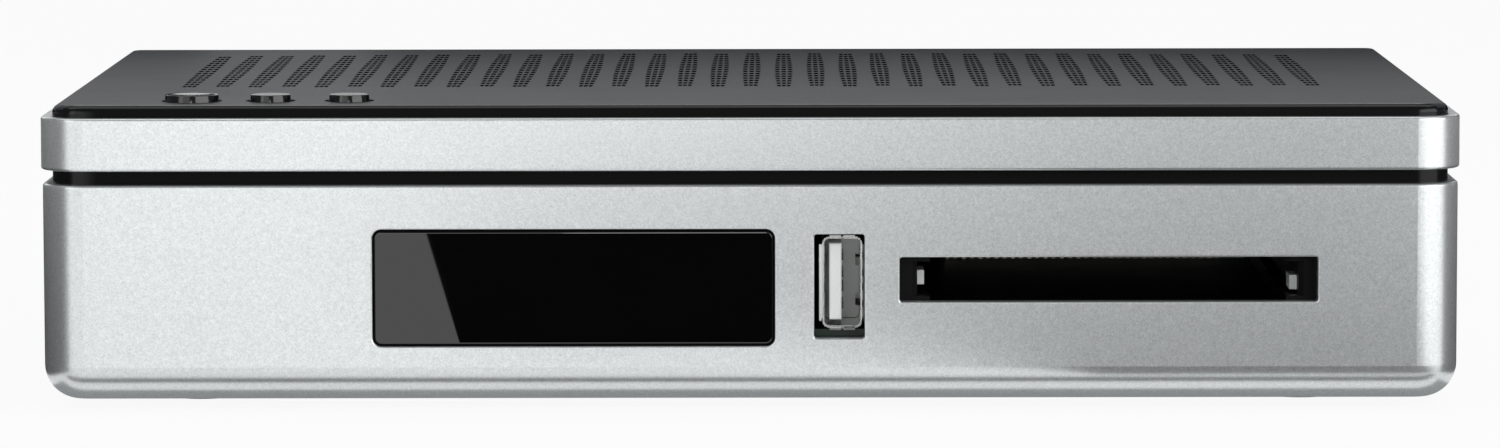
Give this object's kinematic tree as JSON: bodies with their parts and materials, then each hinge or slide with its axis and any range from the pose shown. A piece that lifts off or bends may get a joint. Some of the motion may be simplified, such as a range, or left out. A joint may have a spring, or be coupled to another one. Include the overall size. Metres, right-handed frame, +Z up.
{
  "type": "satellite television receiver",
  "caption": "Compact satellite television receiver: silver housing, vented black lid, push buttons, display window, upright USB socket, card slot and rear sockets.",
  "frame": {"origin": "under the middle of the whole receiver, rear sockets included, at the level the feet stand on", "axes": "+X to the right seen from the front, +Y from the front to the rear panel, +Z up"},
  "size_m": [0.2034, 0.1288, 0.0448],
  "materials": {
    "silver_paint": "silver metallic paint, satin",
    "black_texture": "finely textured black",
    "smoked_window": "polished smoked acrylic",
    "gloss_black": "polished black",
    "foot_rubber": "matt",
    "zinc_steel": "bright zinc",
    "black_steel": "satin black",
    "circuit_board": "green solder mask",
    "nickel": "nickel plate",
    "tin_plate": "tin plate",
    "gold_contact": "gold flash",
    "white_plastic": "moulded",
    "black_plastic": "moulded",
    "chip_resin": "moulded resin",
    "can_aluminium": "bare top, sleeved side",
    "sink_aluminium": "anodised",
    "ribbon_film": "laminated film",
    "red_lens": "tinted clear",
    "red_plastic": "moulded",
    "yellow_plastic": "moulded",
    "orange_plastic": "moulded"
  },
  "bodies": {
    "housing": {"audio_left_insulator": "white_plastic", "audio_right_insulator": "red_plastic", "button_board": "circuit_board", "button_board_screws": "zinc_steel", "button_ribbon": "ribbon_film", "button_switches": "black_plastic", "capacitors": "can_aluminium", "card_guide": "black_plastic", "card_key_ribs": "white_plastic", "card_pins": "gold_contact", "case_screws": "zinc_steel", "dc_pin": "nickel", "dc_socket": "black_plastic", "decoder_chip": "chip_resin", "digital_audio_insulator": "orange_plastic", "display_board": "circuit_board", "display_header": "black_plastic", "display_window": "smoked_window", "hdmi_shell": "nickel", "hdmi_tongue": "black_plastic", "heat_sink": "sink_aluminium", "infrared_receiver": "black_plastic", "led_display": "black_plastic", "lnb_in_socket": "nickel", "lnb_insulators": "white_plastic", "lnb_out_socket": "nickel", "lower_housing": "silver_paint", "main_board": "circuit_board", "main_board_screws": "zinc_steel", "memory_chips": "chip_resin", "power_coils": "chip_resin", "rca_block": "black_plastic", "rca_sleeves": "nickel", "rear_panel": "black_steel", "ribbon_plugs": "white_plastic", "rubber_feet": "foot_rubber", "scart_contacts": "gold_contact", "scart_socket": "black_plastic", "serial_body": "black_plastic", "serial_screws": "nickel", "serial_shell": "nickel", "standby_lamp": "red_lens", "top_cover": "black_texture", "trim_band": "silver_paint", "tuner_can": "tin_plate", "usb_contacts": "gold_contact", "usb_shell": "nickel", "usb_tongue": "white_plastic", "video_insulator": "yellow_plastic"},
    "power_button": {"power_button": "gloss_black", "power_plunger": "black_plastic"},
    "channel_down_button": {"channel_down_button": "gloss_black", "channel_down_plunger": "black_plastic"},
    "channel_up_button": {"channel_up_button": "gloss_black", "channel_up_plunger": "black_plastic"}
  },
  "joints": [
    {"name": "power_press", "type": "slide", "parent": "housing", "child": "power_button", "axis": [0, 0, -1], "range_m": [0, 0.0005], "stiffness_N_per_m": 300, "springref_m": -0.001},
    {"name": "channel_down_press", "type": "slide", "parent": "housing", "child": "channel_down_button", "axis": [0, 0, -1], "range_m": [0, 0.0005], "stiffness_N_per_m": 300, "springref_m": -0.001},
    {"name": "channel_up_press", "type": "slide", "parent": "housing", "child": "channel_up_button", "axis": [0, 0, -1], "range_m": [0, 0.0005], "stiffness_N_per_m": 300, "springref_m": -0.001}
  ]
}
